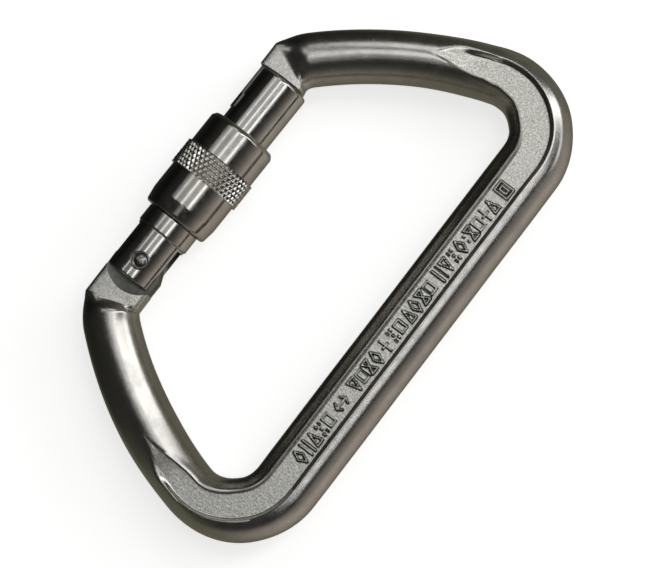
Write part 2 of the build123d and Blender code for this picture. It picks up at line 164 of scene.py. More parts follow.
# Screw sleeve
SLEEVE_LOW, SLEEVE_TOP, SLEEVE_R = 12.65, 39.05, 8.9
KNURL_LOW, KNURL_TOP, KNURL_R = 23.5, 30.1, 9.45
KNURL_COUNT, KNURL_ROWS, KNURL_STEPS, KNURL_DEPTH = 46, 3, 8, 0.45
KNURL_FLAT, KNURL_EDGE, KNURL_SHOULDER = 0.35, 0.15, 0.12
# The diamonds' height along the sleeve, a whole number of which fill the band
KNURL_PITCH = (KNURL_TOP - KNURL_LOW) / KNURL_ROWS
SLEEVE_THREAD_R, SLEEVE_BORE_R, SLEEVE_THREAD_TOP = 6.96, 7.25, 30.0
SLEEVE_LIP_INSET, SLEEVE_TAPER_INSET = 0.75, 0.45
SLEEVE_LIP_HEIGHT, SLEEVE_TAPER_HEIGHT = 0.5, 3.6
SLEEVE_TOP_INSET, SLEEVE_TOP_DROP, SLEEVE_THREAD_LEAD = 0.7, 1.0, 0.1
SLEEVE_LOW_SOFTNESS, SLEEVE_TOP_SOFTNESS = 0.2, 0.25
GROOVE_LOW, GROOVE_TOP, GROOVE_R = 12.9, 13.9, 7.5

# Turned profiles: the steps of a softened corner, the share of a run that it may take, and how close to the
# ends of a long run its edge rows lie
CORNER_STEPS = 3
CORNER_POINTS = CORNER_STEPS + 1
CORNER_REACH = 0.45
EDGE_ROW = 0.12

# Edges sharper than this stay crisp, in degrees
SMOOTH_ANGLE, BODY_SMOOTH_ANGLE = 35, 40


def smoothstep(value):
    value = np.clip(value, 0.0, 1.0)
    return value * value * (3.0 - 2.0 * value)


def heading(angle):
    return np.array([math.cos(math.radians(angle)), math.sin(math.radians(angle))])


# ---------------------------------------------------------------- meshes

def mesh_object(name, points, faces):
    """A new piece from points in millimetres in the row frame."""
    mesh = bpy.data.meshes.new(name)
    mesh.from_pydata([tuple(p) for p in np.asarray(points, float) * MM], [], faces)
    mesh.validate()
    mesh.update()
    piece = bpy.data.objects.new(name, mesh)
    bpy.context.scene.collection.objects.link(piece)
    shade(piece, SMOOTH_ANGLE)
    return piece


def shade(piece, smooth_angle):
    """Smooth shading, with edges sharper than this angle left crisp."""
    mesh = piece.data
    mesh.polygons.foreach_set("use_smooth", [True] * len(mesh.polygons))
    mesh.set_sharp_from_angle(angle=math.radians(smooth_angle))


def gate_point(across, along, height):
    """A point given in the gate's own axes, in the row frame."""
    in_plane = GATE_ORIGIN + float(across) * GATE_ACROSS + float(along) * GATE_AXIS
    return in_plane + Vector((0, 0, float(height)))


def soften(profile, radius):
    """Rounds each corner of a closed profile by a small arc-like curve."""
    rounded = []
    count = len(profile)
    for i, corner in enumerate(profile):
        corner = np.array(corner, float)
        before = np.array(profile[i - 1], float) - corner
        after = np.array(profile[(i + 1) % count], float) - corner
        reach = min(radius, CORNER_REACH * np.linalg.norm(before), CORNER_REACH * np.linalg.norm(after))
        if corner[0] == 0 or reach <= 0:
            rounded.append(tuple(corner))
            continue
        start = corner + before / np.linalg.norm(before) * reach
        end = corner + after / np.linalg.norm(after) * reach
        for k in range(CORNER_POINTS):
            t = k / CORNER_STEPS
            rounded.append(tuple((1 - t) ** 2 * start + 2 * t * (1 - t) * corner + t * t * end))
    return rounded


def with_edge_rows(profile):
    """Adds a row close to each end of every long run, so that smooth shading stays true up to its edges."""
    full = []
    for start, end in zip(profile, profile[1:] + profile[:1]):
        full.append(start)
        across, along = end[0] - start[0], end[1] - start[1]
        length = math.hypot(across, along)
        if length > 4 * EDGE_ROW and not (start[0] == 0 and end[0] == 0):
            for share in (EDGE_ROW / length, 1 - EDGE_ROW / length):
                full.append((start[0] + across * share, start[1] + along * share))
    return full


def turned(name, profile, place, segments=128, radius_at=None):
    """A solid of revolution from a closed (radius, height) profile, whose radii may vary round the turn."""
    profile = with_edge_rows(profile)
    points, rings = [], []
    angles = [2 * math.pi * k / segments for k in range(segments)]
    for radius, height in profile:
        if radius == 0:
            rings.append([len(points)])
            points.append(place(0.0, height, 0.0))
            continue
        rings.append(list(range(len(points), len(points) + segments)))
        for angle in angles:
            r = radius_at(radius, height, angle) if radius_at else radius
            points.append(place(r * math.sin(angle), height, r * math.cos(angle)))
    faces = []
    for i, ring in enumerate(rings):
        following = rings[(i + 1) % len(rings)]
        if len(ring) == 1 and len(following) == 1:
            continue
        for k in range(segments):
            m = (k + 1) % segments
            if len(ring) == 1:
                faces.append((ring[0], following[m], following[k]))
            elif len(following) == 1:
                faces.append((ring[k], ring[m], following[0]))
            else:
                faces.append((ring[k], ring[m], following[m], following[k]))
    piece = mesh_object(name, points, faces)
    face_outward(piece)
    return piece


def face_outward(piece):
    """Flips the faces if the closed mesh is inside out."""
    mesh = piece.data
    mesh.calc_loop_triangles()
    volume = 0.0
    for triangle in mesh.loop_triangles:
        a, b, c = (mesh.vertices[v].co for v in triangle.vertices)
        volume += a.dot(b.cross(c))
    if volume < 0:
        mesh.flip_normals()


def prism(name, outline, half_thickness):
    """A flat plate of this plan outline, centred on the D's own plane."""
    count = len(outline)
    points = [(x, y, -half_thickness) for x, y in outline] + [(x, y, half_thickness) for x, y in outline]
    faces = [tuple(range(count))[::-1], tuple(range(count, 2 * count))]
    faces += [(i, (i + 1) % count, (i + 1) % count + count, i + count) for i in range(count)]
    piece = mesh_object(name, points, faces)
    face_outward(piece)
    return piece


def arc(centre, radius, first, last, steps):
    """Points along an arc, angles in degrees."""
    return [
        (centre[0] + radius * math.cos(math.radians(first + (last - first) * k / steps)),
         centre[1] + radius * math.sin(math.radians(first + (last - first) * k / steps)))
        for k in range(steps + 1)
    ]


def boolean(piece, tool, operation):
    """Joins or cuts a closed mesh by another, and removes the tool."""
    modifier = piece.modifiers.new("boolean", "BOOLEAN")
    modifier.operation = operation
    modifier.solver = "MANIFOLD"
    modifier.object = tool
    with bpy.context.temp_override(object=piece, active_object=piece):
        bpy.ops.object.modifier_apply(modifier=modifier.name)
    tool_mesh = tool.data
    bpy.data.objects.remove(tool)
    bpy.data.meshes.remove(tool_mesh)


# ---------------------------------------------------------------- forged body

def bar_arcs():
    """The centreline's arcs from nose to hinge: centre, radius, first and last outward angle."""
    top_centre = np.array([SPINE_X - TOP_CORNER_R, TOP_CORNER_Y])
    low_centre = np.array([SPINE_X - LOW_CORNER_R, LOW_CORNER_Y])
    nose_centre = top_centre + (TOP_CORNER_R - NOSE_ARM_R) * heading(TOP_CORNER_TURN)
    hinge_centre = low_centre + (LOW_CORNER_R - HINGE_ARM_R) * heading(-LOW_CORNER_TURN)
    arm_angle = -LOW_CORNER_TURN - HINGE_ARM_TURN
    end_centre = hinge_centre + (HINGE_ARM_R - HINGE_END_R) * heading(arm_angle)
    return {
        "nose_arm": (nose_centre, NOSE_ARM_R, TOP_CORNER_TURN + NOSE_ARM_TURN, TOP_CORNER_TURN),
        "top_corner": (top_centre, TOP_CORNER_R, TOP_CORNER_TURN, 0.0),
        "low_corner": (low_centre, LOW_CORNER_R, 0.0, -LOW_CORNER_TURN),
        "hinge_arm": (hinge_centre, HINGE_ARM_R, -LOW_CORNER_TURN, arm_angle),
        "hinge_end": (end_centre, HINGE_END_R, arm_angle, arm_angle - HINGE_END_TURN),
    }


def bar_ribs():
    """Places along the centreline from nose to hinge: point, outward angle, stretch name and share of it."""
    ribs = []
    arcs = bar_arcs()
    for name, step in RING_STEP.items():
        if name == "spine":
            length = TOP_CORNER_Y - LOW_CORNER_Y
        else:
            centre, radius, first, last = arcs[name]
            length = radius * math.radians(first - last)
        steps = round(length / step)
        for k in range(steps):
            share = k / steps
            if name == "spine":
                point, angle = np.array([SPINE_X, TOP_CORNER_Y - share * length]), 0.0
            else:
                angle = first + (last - first) * share
                point = centre + radius * heading(angle)
            ribs.append((point, angle, name, share))
    return ribs


# The section at places along each stretch: the share of the stretch, then width, thickness, squareness, the
# web's centre outward from the centreline, and the web's share of its full width
SECTION_STATIONS = {
    "nose_arm": [(0.0, 13.0, 13.1, 2.15, 1.0, 0.0), (0.30, 13.0, 13.2, 2.05, 1.0, 0.0),
                 (0.56, 13.0, 13.2, 2.0, 1.3, 0.0), (0.92, 13.5, 13.2, 2.1, 0.1, 0.84)],
    "top_corner": [(0.0, 13.7, 13.2, 2.15, -0.2, 0.95), (0.20, 14.0, 13.2, 2.2, -0.6, 1.05),
                   (0.60, 15.0, 13.2, 2.3, -1.2, 1.2)],
    "spine": [(0.0, 16.0, 13.2, 2.35, -1.22, 1.04), (0.08, 16.1, 13.2, 2.35, -1.22, 0.99),
              (0.95, 16.1, 13.2, 2.35, -1.22, 0.99)],
    "low_corner": [(0.0, 16.0, 13.3, 2.35, -1.2, 1.0), (0.43, 15.3, 13.4, 2.3, -1.0, 1.04)],
    "hinge_arm": [(0.0, 13.6, 13.6, 2.1, 0.5, 0.92), (0.40, 14.1, 13.7, 2.0, 1.6, 0.0)],
    "hinge_end": [(0.0, 13.5, 13.5, 2.05, 1.4, 0.0), (1.0, 13.4, 13.5, 2.1, 1.4, 0.0)],
}


def section_values(stretch, share):
    """The section's five values, eased between the stations on both sides."""
    names = list(SECTION_STATIONS)
    stations = [(names.index(n) + s[0], s[1:]) for n in names for s in SECTION_STATIONS[n]]
    at = names.index(stretch) + share
    for (low, first), (high, last) in zip(stations, stations[1:]):
        if low <= at <= high:
            t = float(smoothstep((at - low) / (high - low)))
            return [a + (b - a) * t for a, b in zip(first, last)]
    return list(stations[-1][1])


def oval_height(n, a, b, e):
    """The height of a squared oval of half width a, half thickness b and exponent e at these offsets."""
    return b * np.power(np.clip(1.0 - np.power(np.abs(n) / a, e), 0.0, 1.0), 1.0 / e)


def face_profile(columns, a, b, e, web_centre, web_width, mark=None):
    """Offsets and heights across one face of the section, from the inner edge to the outer edge."""
    column_half = max(web_width, COLUMN_HALF_WIDTH_LEAST)
    foot_in, foot_out = web_centre - column_half, web_centre + column_half
    share = smoothstep(web_width / WEB_HALF_WIDTH)
    wall_out = WEB_WALL_OUT + RUN_OUT_EASE * (1 - share**3)
    walls = (foot_in - WEB_WALL_IN, foot_in, foot_out, foot_out + wall_out)
    angle_of = [math.acos(math.copysign((abs(w) / a) ** (e / 2), w)) for w in (walls[0], walls[3])]
    inner = np.linspace(math.pi, angle_of[0], columns[0] + 1)[:-1]
    outer = np.linspace(angle_of[1], 0.0, columns[4] + 1)
    flank_in = a * np.sign(np.cos(inner)) * np.abs(np.cos(inner)) ** (2 / e)
    flank_out = a * np.sign(np.cos(outer)) * np.abs(np.cos(outer)) ** (2 / e)
    flat = [np.linspace(walls[i], walls[i + 1], columns[i + 1] + 1)[:-1] for i in range(3)]
    n = np.concatenate([flank_in, *flat, flank_out])
    z = oval_height(n, a, b, e)
    if web_width > 0:
        low, high = web_centre - web_width, web_centre + web_width
        inside = smoothstep((n - low + WEB_WALL_IN) / WEB_WALL_IN)
        depth = inside * smoothstep((high + wall_out - n) / wall_out)
        ridges = (
            (high + wall_out + RIDGE_OUT[0], *RIDGE_OUT[1:]),
            (low - WEB_WALL_IN - RIDGE_IN[0], *RIDGE_IN[1:]),
        )
        for at, wide, tall in ridges:
            z = z + tall * np.exp(-(((n - at) / wide) ** 2)) * (1 - depth) * share**4
        floor = np.full_like(n, WEB_FLOOR_Z + (b - WEB_FLOOR_Z) * (1 - share))
        if mark is not None:
            floor = floor + mark(n)
        z = np.where(z > floor, z + (floor - z) * depth, z)
    return n, z


# Raised marks in the web: plain geometric signs, drawn as strokes in a unit cell
PIP_FEET = ((0.2, 0.1), (0.8, 0.1), (0.2, 0.8), (0.8, 0.8), (0.5, 0.45))
SIGNS = {
    "diamond": [[(0.5, 0), (1, 0.5), (0.5, 1), (0, 0.5), (0.5, 0)]],
    "square": [[(0, 0.12), (1, 0.12), (1, 0.88), (0, 0.88), (0, 0.12)]],
    "pips": [[(x, y), (x, y + 0.1)] for x, y in PIP_FEET],
    "bars": [[(0.15, 0), (0.15, 1)], [(0.85, 0), (0.85, 1)]],
    "plus": [[(0, 0.5), (1, 0.5)], [(0.5, 0.05), (0.5, 0.95)]],
    "triangle": [[(0, 0.05), (1, 0.05), (0.5, 0.95), (0, 0.05)]],
    "wedge": [[(0, 0.95), (1, 0.95), (0.5, 0.05), (0, 0.95)]],
    "hourglass": [[(0, 0.05), (1, 0.95), (0, 0.95), (1, 0.05), (0, 0.05)]],
    "dots": [[(0.5, 0.25), (0.5, 0.3)], [(0.5, 0.7), (0.5, 0.75)]],
    "arrow": [
        [(0, 0.5), (1, 0.5)],
        [(0.22, 0.2), (0, 0.5), (0.22, 0.8)],
        [(0.78, 0.2), (1, 0.5), (0.78, 0.8)],
    ],
    "frame": [
        [(0, 0), (1, 0), (1, 1), (0, 1), (0, 0)],
        [(0.3, 0.25), (0.7, 0.25), (0.7, 0.75), (0.3, 0.75), (0.3, 0.25)],
    ],
}
MARK_ROW = (
    ("diamond", 1), ("bars", 1), ("triangle", 1), ("pips", 1), ("square", 1), ("gap", 0.5),
    ("arrow", 1.9), ("gap", 0.4),
    ("wedge", 1), ("square", 1), ("hourglass", 1), ("diamond", 1), ("gap", 0.3),
    ("plus", 0.9), ("gap", 0.2), ("pips", 1), ("square", 1), ("gap", 0.2),
    ("triangle", 1), ("diamond", 1), ("hourglass", 1), ("square", 1), ("gap", 0.5),
    ("bars", 1), ("wedge", 1), ("pips", 1), ("diamond", 1), ("dots", 0.5),
    ("hourglass", 1), ("square", 1), ("plus", 1), ("triangle", 1), ("gap", 0.6), ("frame", 1.4),
)
MARK_LOW_Y, MARK_TOP_Y, MARK_TALL = -40.3, 41.6, 3.7
MARK_STROKE, MARK_EDGE, MARK_HEIGHT, MARK_FILL = 0.26, 0.14, 0.48, 0.68


def mark_strokes():
    """Every stroke of the marks as two end points, in (across, along) of the spine."""
    total = sum(width for _, width in MARK_ROW)
    pitch = (MARK_TOP_Y - MARK_LOW_Y) / total
    strokes, along = [], MARK_LOW_Y
    for sign, width in MARK_ROW:
        if sign != "gap":
            length = pitch * width * MARK_FILL
            for line in SIGNS[sign]:
                ends = [((0.5 - v) * MARK_TALL, along + u * length) for u, v in line]
                strokes += list(zip(ends, ends[1:]))
        along += pitch * width
    return strokes


def mark_height(strokes, along):
    """The marks' height above the web floor on the rib at this place, as a function of the offset."""
    near = [s for s in strokes if min(s[0][1], s[1][1]) - 1 < along < max(s[0][1], s[1][1]) + 1]
    if not near:
        return None

    def height(n):
        across = n - WEB_SPINE_CENTRE
        best = np.full_like(n, 9.0)
        for (x0, y0), (x1, y1) in near:
            dx, dy = x1 - x0, y1 - y0
            t = np.clip(((across - x0) * dx + (along - y0) * dy) / (dx * dx + dy * dy), 0, 1)
            best = np.minimum(best, np.hypot(across - x0 - t * dx, along - y0 - t * dy))
        return MARK_HEIGHT * smoothstep((MARK_STROKE + MARK_EDGE - best) / (2 * MARK_EDGE))

    return height


def plain_ring(inner, outer, half_thickness, squareness, shift=None):
    """A ring between two plan points without a web, where the bar turns into a flat block. `shift` moves a
    plan point by where it lies across the ring, from -1 to 1."""
    inner, outer = np.array(inner), np.array(outer)
    a = np.linalg.norm(outer - inner) / 2
    return (outer + inner) / 2, (outer - inner) / (2 * a), a, half_thickness, squareness, shift


def ring_points(centre, across, front, back, half_width=1.0, shift=None):
    """The ring's points: the front face from inner to outer edge, then the back face from outer to inner."""
    points = []
    for n, z in list(zip(*front)) + [(n, -z) for n, z in list(zip(*back))[-2:0:-1]]:
        spot = centre + n * across
        if shift is not None:
            spot = shift(spot, n / half_width)
        points.append((spot[0], spot[1], z))
    return points


def end_rings(last_rib, shoulder, rise, end_curve):
    """Rings from the bar's last rib, through the slanting shoulder, down the flats to the block's end. The
    shoulder line bows by `rise` in its middle."""
    rings = []
    point, across, a, b, e = last_rib
    start = (point - a * across, point + a * across)
    along = np.array([-across[1], across[0]])
    along *= math.copysign(1.0, along @ (np.array(shoulder[0]) + np.array(shoulder[1]) - 2 * point))

    def curved(begin, end, t):
        bend = begin + along * END_BEND * np.linalg.norm(end - begin)
        return begin * (1 - t) ** 2 + 2 * t * (1 - t) * bend + end * t * t

    def bowed(share):
        return lambda spot, u: spot + np.array([0.0, rise * share * max(0.0, 1 - u * u)])

    def towards_end(share):
        def moved(spot, u):
            begin = bowed(1.0)(spot, u)
            return begin * (1 - share) + end_curve(begin) * share
        return moved

    for k in range(1, BLOCK_RINGS + 1):
        t = k / BLOCK_RINGS
        inner = curved(start[0], np.array(shoulder[0]), t)
        outer = curved(start[1], np.array(shoulder[1]), t)
        half_thickness = b + (BLOCK_HALF_THICKNESS - b) * smoothstep(t) ** BLOCK_THINNING
        squareness = e + (BLOCK_SQUARENESS - e) * t**BLOCK_SQUARING
        rings.append(plain_ring(inner, outer, half_thickness, squareness, bowed(t)))
    for k in range(1, FLAT_RINGS + 1):
        shift = towards_end(k / FLAT_RINGS)
        rings.append(plain_ring(*shoulder, BLOCK_HALF_THICKNESS, BLOCK_SQUARENESS, shift))
    return rings


def nose_end(place):
    """Drops a plan point to just below the neck's underside, which is cut round afterwards."""
    return np.array([place[0], PIVOT.y + NECK_UNDERSIDE_R - NOSE_SPARE])


def hinge_end(place):
    """Raises a plan point to the block's top, where the relief round the gate's ears is cut afterwards."""
    return np.array([place[0], PIVOT.y + BARREL_LOW])


def add_waviness(points):
    """The slight unevenness of a forging's surface."""
    noise.seed_set(FORGE_WAVE_SEED)
    for p in points:
        place = Vector(p) / FORGE_WAVE
        wave = noise.noise_vector(place) * FORGE_WAVE_HEIGHT
        p[0] += wave.x
        p[1] += wave.y
        p[2] += wave.z
    return points


def forged_bar():
    """The bar as one closed grid: nose block, round arm, corners, webbed spine and hinge block."""
    strokes = mark_strokes()
    ribs = bar_ribs()

    def row_of(point, angle, stretch, share):
        across = heading(angle)
        width, thickness, squareness, web_centre, web = section_values(stretch, share)
        a, b = width / 2, thickness / 2
        mark = mark_height(strokes, point[1]) if stretch == "spine" else None
        web_width = web * WEB_HALF_WIDTH
        front = face_profile(FRONT_COLUMNS, a, b, squareness, web_centre, web_width, mark)
        back = face_profile(BACK_COLUMNS, a, b, squareness, web_centre, web_width)
        return ring_points(point, across, front, back), (point, across, a, b, squareness)

    def row_of_plain(ring):
        centre, across, a, b, e, shift = ring
        front = face_profile(FRONT_COLUMNS, a, b, e, BLOCK_WEB_CENTRE, 0.0)
        back = face_profile(BACK_COLUMNS, a, b, e, BLOCK_WEB_CENTRE, 0.0)
        return ring_points(centre, across, front, back, a, shift)

    built = [row_of(*rib) for rib in ribs]
    ribs_webbed = [section_values(stretch, share)[4] > WEB_SHOWS for _, _, stretch, share in ribs]
    rows = [row for row, _ in built]
    nose = end_rings(
        built[0][1],
        ((NOSE_RIGHT_X, NOSE_SHOULDER_RIGHT_Y), (NOSE_LEFT_X, NOSE_SHOULDER_LEFT_Y)),
        0.0,
        nose_end,
    )
    hinge = end_rings(
        built[-1][1],
        ((TANG_RIGHT_X, TANG_SHOULDER_RIGHT_Y), (TANG_LEFT_X, TANG_SHOULDER_LEFT_Y)),
        HINGE_SHOULDER_BOW,
        hinge_end,
    )
    rows = [row_of_plain(r) for r in reversed(nose)] + rows + [row_of_plain(r) for r in hinge]
    count = len(rows[0])
    points = [list(p) for row in rows for p in row]
    floor, wall = columns_of(WEB_FLOOR_BAND, count), columns_of(OUTER_WALL_BAND, count)
    faces, finishes_and_shade = [], []
    for i in range(len(rows) - 1):
        in_web = len(nose) <= i < len(rows) - len(hinge) and ribs_webbed[i - len(nose)]
        for k in range(count):
            m = (k + 1) % count
            faces.append((i * count + k, i * count + m, (i + 1) * count + m, (i + 1) * count + k))
            stretch = ribs[i - len(nose)][2] if in_web else None
            if in_web and k in floor:
                heights = [points[n][2] for n in faces[-1]]
                # Steep sides of the marks' strokes get painted shade, a dark outline where shade falls; the
                # rest of the web floor is blasted
                steep = stretch == "spine" and max(heights) - min(heights) > MARK_SHADE_STEP
                finishes_and_shade.append(PAINTED_SHADE if steep else BLASTED)
            # The outer web wall on the top corner and spine gets painted shade, dark where shade falls in
            # the recess
            elif in_web and k in wall and stretch in ("top_corner", "spine"):
                finishes_and_shade.append(PAINTED_SHADE)
            elif i < FLAT_RINGS or i >= len(rows) - 1 - FLAT_RINGS:
                finishes_and_shade.append(MILLED)
            else:
                finishes_and_shade.append(SATIN)
    finishes_and_shade += [MILLED, MILLED]
    faces.append(tuple(range(count))[::-1])
    faces.append(tuple(range((len(rows) - 1) * count, len(rows) * count)))
    piece = mesh_object("forged_body_skin", add_waviness(points), faces)
    piece.data.polygons.foreach_set("material_index", finishes_and_shade)
    face_outward(piece)
    return piece


def columns_of(band, count):
    """Which faces round a ring of this count lie in this band of a face's columns, front and back."""
    front_start = sum(FRONT_COLUMNS[:band])
    back_end = count - sum(BACK_COLUMNS[:band])
    front = set(range(front_start, front_start + FRONT_COLUMNS[band]))
    return front | set(range(back_end - BACK_COLUMNS[band], back_end))


def swing_outline(low_r, top_r, outer, inner, steps):
    """A plan outline between two radii about the pivot and two offsets across the gate."""
    def crossing(offset, radius):
        dx = offset + (GATE_ORIGIN - PIVOT).dot(GATE_ACROSS)
        p = gate_point(offset, math.sqrt(radius**2 - dx**2), 0)
        return (p.x, p.y)

    offsets = [outer + (inner - outer) * k / steps for k in range(steps + 1)]
    return [crossing(o, low_r) for o in offsets] + [crossing(o, top_r) for o in reversed(offsets)]


def tongue_outline(top_r):
    """The tongue in plan, from its head's underside to this radius and a little past its outer flank."""
    return swing_outline(HEAD_LOW_R, top_r, -(TONGUE_OUTER_R + TONGUE_SPARE), TONGUE_INNER, TONGUE_STEPS)


def make_body(materials):
    """The forging: the bar, cut round the gate's ears and under the neck, joined with tongue and tang."""
    body = forged_bar()
    relief = prism("relief_tool", arc(PIVOT, EAR_RELIEF_R, 0, 360, RELIEF_STEPS)[:-1], SLEEVE_R)
    below_neck = arc(PIVOT, NECK_UNDERSIDE_R, UNDERSIDE_FIRST, UNDERSIDE_LAST, UNDERSIDE_STEPS)
    underside = prism("underside_tool", below_neck, SLEEVE_R)
    for piece in (body, relief, underside):
        for material in materials:
            piece.data.materials.append(material)
    for tool in (relief, underside):
        tool.data.polygons.foreach_set("material_index", [MILLED] * len(tool.data.polygons))
        boolean(body, tool, "DIFFERENCE")
    neck = prism("tongue", tongue_outline(NECK_UNDERSIDE_R + TONGUE_ROOT), TANG_HALF_THICKNESS)
    head = prism("head", tongue_outline(HEAD_TOP_R), HEAD_HALF_THICKNESS)
    round_low, round_top = HEAD_LOW_R - ROUND_REACH, NECK_UNDERSIDE_R + ROUND_REACH
    rounding = [(0, round_low), (TONGUE_OUTER_R, round_low), (TONGUE_OUTER_R, round_top), (0, round_top)]
    boolean(neck, head, "UNION")
    boolean(neck, turned("round_tool", rounding, gate_point), "INTERSECT")
    tang = prism("tang", [
        (TANG_LEFT_X + TANG_SIDE_INSET, TANG_SHOULDER_LEFT_Y + TANG_LEFT_RISE),
        (TANG_RIGHT_X - TANG_SIDE_INSET, TANG_SHOULDER_RIGHT_Y),
        (TANG_RIGHT_X, PIVOT.y - TANG_ROOT_DROP),
        (PIVOT.x + TANG_CAM_CORNER, PIVOT.y + TANG_TOP),
        (PIVOT.x - TANG_CAM_CORNER, PIVOT.y + TANG_TOP),
        (TANG_LEFT_X, PIVOT.y - TANG_ROOT_DROP),
    ], TANG_HALF_THICKNESS)
    # Tongue and tang take painted shade all over: dark colours standing in for the shade in the barrel's
    # slot and in the recess round the gate's ears
    for extra in (neck, tang):
        extra.data.materials.clear()
        for material in materials:
            extra.data.materials.append(material)
        extra.data.polygons.foreach_set("material_index", [PAINTED_SHADE] * len(extra.data.polygons))
        boolean(body, extra, "UNION")
    shade(body, BODY_SMOOTH_ANGLE)
    return body


# ---------------------------------------------------------------- gate

def threaded(radius, height, angle):
    """The barrel's radius with the external thread cut in its threaded band."""
    if radius <= THREAD_ROOT_R or not THREAD_LOW < height < THREAD_TOP:
        return radius
    phase = (height / THREAD_PITCH - THREAD_STARTS * angle / (2 * math.pi)) % 1.0
    flank = min(1.0, abs(2 * phase - 1) * THREAD_FLANK)
    fade = min(1.0, (height - THREAD_LOW) / THREAD_FADE, (THREAD_TOP - height) / THREAD_FADE)
    return THREAD_R - (THREAD_R - THREAD_ROOT_R) * flank * max(fade, 0.0)


def make_barrel():
    """The threaded barrel, with its fork slot, spring bore, nose slot and countersinks cut out."""
    below = soften([
        (0, BARREL_LOW),
        (BARREL_R - BARREL_LOW_CHAMFER, BARREL_LOW),
        (BARREL_R, BARREL_LOW + BARREL_LOW_CHAMFER),
        (BARREL_R, COLLAR_LOW),
        (COLLAR_SEAT_R, COLLAR_LOW),
        (COLLAR_SEAT_R, COLLAR_TOP),
        (BARREL_R, COLLAR_TOP),
        (BARREL_R, THREAD_LOW - THREAD_SHOULDER),
    ], BARREL_SOFTNESS)[:-CORNER_STEPS]
    below.append((BARREL_R, THREAD_LOW - THREAD_SHOULDER_GAP))
    rows = THREAD_ROWS
    thread = [(THREAD_R, THREAD_LOW + (THREAD_TOP - THREAD_LOW) * k / rows) for k in range(rows + 1)]
    top_edge = [(BARREL_R - inset, BARREL_TOP - drop) for inset, drop in BARREL_TOP_ROUND]
    above = [(BARREL_R, THREAD_TOP + THREAD_SHOULDER), *top_edge, (0, BARREL_TOP)]
    barrel = turned("gate_barrel_skin", below + thread + above, gate_point, BARREL_SEGMENTS, threaded)
    fork_low = BARREL_LOW - FORK_SPARE
    reach = FORK_REACH
    fork_corners = ((-reach, fork_low), (reach, fork_low), (reach, FORK_TOP), (-reach, FORK_TOP))
    fork = [gate_point(x, y, 0) for x, y in fork_corners]
    boolean(barrel, prism("fork_tool", [(p.x, p.y) for p in fork], FORK_HALF_WIDTH), "DIFFERENCE")
    bore_low = FORK_TOP - BORE_SPARE
    bore = [(0, bore_low), (BORE_R, bore_low), (BORE_R, BORE_END), (0, BORE_END)]
    boolean(barrel, turned("bore_tool", bore, gate_point, SMALL_SEGMENTS), "DIFFERENCE")
    slot = slot_outline(HEAD_LOW_R - SLOT_CLEARANCE, HEAD_TOP_R + SLOT_CLEARANCE)
    boolean(barrel, prism("head_tool", slot, HEAD_HALF_THICKNESS + SLOT_CLEARANCE), "DIFFERENCE")
    slot = slot_outline(HEAD_LOW_R, BARREL_TOP + NECK_SLOT_SPARE)
    boolean(barrel, prism("neck_tool", slot, TANG_HALF_THICKNESS + SLOT_CLEARANCE), "DIFFERENCE")
    for side in (-1, 1):
        countersink = [
            (0, side * COUNTERSINK_TOOL_LOW),
            (RIVET_R, side * COUNTERSINK_TOOL_LOW),
            (RIVET_R, side * COUNTERSINK_FOOT_Z),
            (COUNTERSINK_R, side * COUNTERSINK_RIM_Z),
            (COUNTERSINK_R, side * COUNTERSINK_TOOL_HIGH),
            (0, side * COUNTERSINK_TOOL_HIGH),
        ]
        tool = turned("countersink_tool", countersink, rivet_point, SMALL_SEGMENTS)
        boolean(barrel, tool, "DIFFERENCE")
    shade(barrel, SMOOTH_ANGLE)
    return barrel


def slot_outline(low_r, top_r):
    """The nose slot in plan, open on the barrel's outer side."""
    return swing_outline(low_r, top_r, SLOT_OUTER, TONGUE_INNER + SLOT_CLEARANCE, SLOT_STEPS)


def rivet_point(across, height, out):
    """Turned shapes about the hinge axis: height runs along Z."""
    return Vector((PIVOT.x + across, PIVOT.y + out, height))


def make_rivet():
    """The rivet, with a dome at both ends."""
    quarter = [k / RIVET_DOME_STEPS * math.pi / 2 for k in range(RIVET_DOME_STEPS)]
    rise = RIVET_TOP_Z - RIVET_RIM_Z
    dome = [(RIVET_HEAD_R * math.cos(turn), RIVET_RIM_Z + rise * math.sin(turn)) for turn in quarter]
    half = [(RIVET_R, RIVET_FLARE_Z), *dome, (0, RIVET_TOP_Z)]
    profile = [(r, -z) for r, z in reversed(half)] + half
    return turned("hinge_rivet_skin", profile, rivet_point, SMALL_SEGMENTS)


def make_collar():
    profile = soften([
        (COLLAR_SEAT_R, COLLAR_LOW),
        (COLLAR_R - COLLAR_CHAMFER, COLLAR_LOW),
        (COLLAR_R, COLLAR_LOW + COLLAR_CHAMFER_HEIGHT),
        (COLLAR_R, COLLAR_TOP - COLLAR_CHAMFER_HEIGHT),
        (COLLAR_R - COLLAR_CHAMFER, COLLAR_TOP),
        (COLLAR_SEAT_R, COLLAR_TOP),
    ], COLLAR_SOFTNESS)
    return turned("stop_collar_skin", profile, gate_point)


def make_spring():
    """The return spring as a coil of round wire, closed at both ends."""
    low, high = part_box("return_spring")
    along = [(Vector(p) / MM - GATE_ORIGIN).dot(GATE_AXIS) for p in (low, high)]
    first = along[0] + SPRING_WIRE_R + SPRING_END_GAP
    last = along[1] - SPRING_WIRE_R - SPRING_END_GAP
    sides, total = SPRING_SIDES, int(SPRING_TURNS * SPRING_STEPS)
    points, faces = [], []
    for i in range(total + 1):
        t = i / total
        angle = 2 * math.pi * SPRING_TURNS * t
        for k in range(sides):
            turn = 2 * math.pi * k / sides
            radius = SPRING_COIL_R + SPRING_WIRE_R * math.cos(turn)
            y = first + (last - first) * t + SPRING_WIRE_R * math.sin(turn)
            points.append(gate_point(radius * math.cos(angle), y, radius * math.sin(angle)))
    for i in range(total):
        for k in range(sides):
            m = (k + 1) % sides
            faces.append((i * sides + k, i * sides + m, (i + 1) * sides + m, (i + 1) * sides + k))
    faces.append(tuple(range(sides))[::-1])
    faces.append(tuple(range(total * sides, (total + 1) * sides)))
    piece = mesh_object("return_spring_coil", points, faces)
    face_outward(piece)
    return piece


# ---------------------------------------------------------------- sleeve

